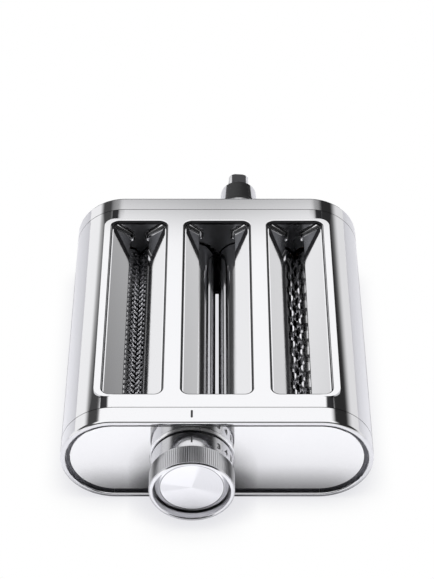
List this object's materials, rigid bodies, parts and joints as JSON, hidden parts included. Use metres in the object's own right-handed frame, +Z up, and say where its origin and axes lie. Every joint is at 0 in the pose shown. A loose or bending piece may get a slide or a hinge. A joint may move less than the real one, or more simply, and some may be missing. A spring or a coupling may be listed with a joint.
{
  "type": "pasta roller attachment",
  "caption": "Pasta roller attachment for a stand mixer, with smooth sheet rollers between a spaghetti and a fettuccine cutter and a numbered dial for the thickness.",
  "frame": {"origin": "the plane of the flat underside, under the middle of the overall length and width", "axes": "+Y runs from the dial to the mixer's hub, +Z is up, +X is to the right seen from the dial"},
  "size_m": [0.168, 0.2638, 0.0584],
  "materials": {
    "polished_steel": "polished stainless steel",
    "polished_rim": "polished",
    "mirror_panel": "mirror polished",
    "dull_steel": "satin",
    "frame_aluminium": "machined",
    "scraper_steel": "satin",
    "fastener_steel": "satin",
    "bearing_bronze": "machined bronze",
    "hub_chrome": "machined and plated",
    "roller_steel": "ground and polished",
    "gear_steel": "machined",
    "shaft_steel": "ground",
    "spring_steel": "oiled",
    "knob_chrome": "plated, with a spun face"
  },
  "bodies": {
    "root": {"main_shell": "polished_steel", "front_bezel": "polished_rim", "rear_bezel": "polished_rim", "front_panel": "mirror_panel", "rear_panel": "mirror_panel", "front_cheek_plate": "dull_steel", "rear_cheek_plate": "dull_steel", "front_bearing_plate": "frame_aluminium", "rear_bearing_plate": "frame_aluminium", "sheet_hopper_guides": "polished_steel", "spaghetti_hopper_guides": "polished_steel", "fettuccine_hopper_guides": "polished_steel", "sheet_exit_guides": "dull_steel", "spaghetti_exit_guides": "dull_steel", "fettuccine_exit_guides": "dull_steel", "sheet_scrapers": "scraper_steel", "spaghetti_stripper_combs": "scraper_steel", "fettuccine_stripper_combs": "scraper_steel", "tie_rods": "fastener_steel", "frame_screws": "fastener_steel", "sheet_roller_bushes": "bearing_bronze", "cutter_bushes": "bearing_bronze", "adjusting_shaft_bushes": "bearing_bronze", "front_bush_carrier": "frame_aluminium", "carrier_screws": "fastener_steel", "panel_screws": "fastener_steel", "dial_base_ring": "knob_chrome", "hub_collar": "hub_chrome", "hub_bushes": "bearing_bronze", "hub_screws": "fastener_steel", "hub_locating_pin": "fastener_steel"},
    "drive": {"sheet_roller_fixed": "roller_steel", "sheet_gear_fixed": "gear_steel", "drive_gear": "gear_steel", "input_shaft": "shaft_steel"},
    "idler": {"idler_gear": "gear_steel"},
    "slide": {"front_slide_block": "bearing_bronze", "rear_slide_block": "bearing_bronze"},
    "adjustable_roller": {"sheet_roller_adjustable": "roller_steel", "sheet_gear_adjustable": "gear_steel"},
    "fettuccine_inner": {"fettuccine_roller_inner": "roller_steel", "fettuccine_drive_gear": "gear_steel", "fettuccine_gear_inner": "gear_steel"},
    "fettuccine_outer": {"fettuccine_roller_outer": "roller_steel", "fettuccine_gear_outer": "gear_steel"},
    "spaghetti_inner": {"spaghetti_roller_inner": "roller_steel", "spaghetti_drive_gear": "gear_steel", "spaghetti_gear_inner": "gear_steel"},
    "spaghetti_outer": {"spaghetti_roller_outer": "roller_steel", "spaghetti_gear_outer": "gear_steel"},
    "setting_shaft": {"adjusting_shaft": "shaft_steel", "knob_spring": "spring_steel", "knob_retaining_screw": "fastener_steel"},
    "knob": {"knob_dial": "knob_chrome", "knob_grip": "knob_chrome", "knob_face_disc": "knob_chrome", "knob_pin": "fastener_steel"}
  },
  "joints": [
    {"name": "drive_spin", "type": "hinge", "parent": "root", "child": "drive", "pos_m": [0.0133, -0.0147, 0.0292], "axis": [0, -1, 0], "continuous": true},
    {"name": "idler_spin", "type": "hinge", "parent": "root", "child": "idler", "pos_m": [-0.0133, -0.0147, 0.0292], "axis": [0, -1, 0], "continuous": true},
    {"name": "fettuccine_inner_spin", "type": "hinge", "parent": "root", "child": "fettuccine_inner", "pos_m": [0.03724, -0.0147, 0.0292], "axis": [0, -1, 0], "continuous": true},
    {"name": "fettuccine_outer_spin", "type": "hinge", "parent": "root", "child": "fettuccine_outer", "pos_m": [0.05414, -0.0147, 0.0292], "axis": [0, -1, 0], "continuous": true},
    {"name": "spaghetti_inner_spin", "type": "hinge", "parent": "root", "child": "spaghetti_inner", "pos_m": [-0.03724, -0.0147, 0.0292], "axis": [0, -1, 0], "continuous": true},
    {"name": "spaghetti_outer_spin", "type": "hinge", "parent": "root", "child": "spaghetti_outer", "pos_m": [-0.05414, -0.0147, 0.0292], "axis": [0, -1, 0], "continuous": true},
    {"name": "dial_turn", "type": "hinge", "parent": "root", "child": "setting_shaft", "pos_m": [-0.0133, -0.0147, 0.0292], "axis": [0, -1, 0], "range_deg": [0, 115]},
    {"name": "knob_pull", "type": "slide", "parent": "setting_shaft", "child": "knob", "axis": [0, -1, 0], "range_m": [0, 0.004], "stiffness_N_per_m": 900, "springref_m": -0.003, "deforming": ["knob_spring"]},
    {"name": "roller_shift", "type": "slide", "parent": "root", "child": "slide", "axis": [1, 0, 0], "range_m": [0, 0.0014]},
    {"name": "adjustable_roller_spin", "type": "hinge", "parent": "slide", "child": "adjustable_roller", "pos_m": [-0.0133, -0.0147, 0.0292], "axis": [0, -1, 0], "continuous": true}
  ],
  "couplings": [
    {"joint": "idler_spin", "follows": "drive_spin", "ratio": -1},
    {"joint": "adjustable_roller_spin", "follows": "drive_spin", "ratio": -1},
    {"joint": "fettuccine_inner_spin", "follows": "drive_spin", "ratio": -1.25},
    {"joint": "fettuccine_outer_spin", "follows": "drive_spin", "ratio": 1.25},
    {"joint": "spaghetti_inner_spin", "follows": "drive_spin", "ratio": 1.25},
    {"joint": "spaghetti_outer_spin", "follows": "drive_spin", "ratio": -1.25},
    {"joint": "dial_turn", "follows": "roller_shift", "rad_per_m": 1433.6}
  ]
}
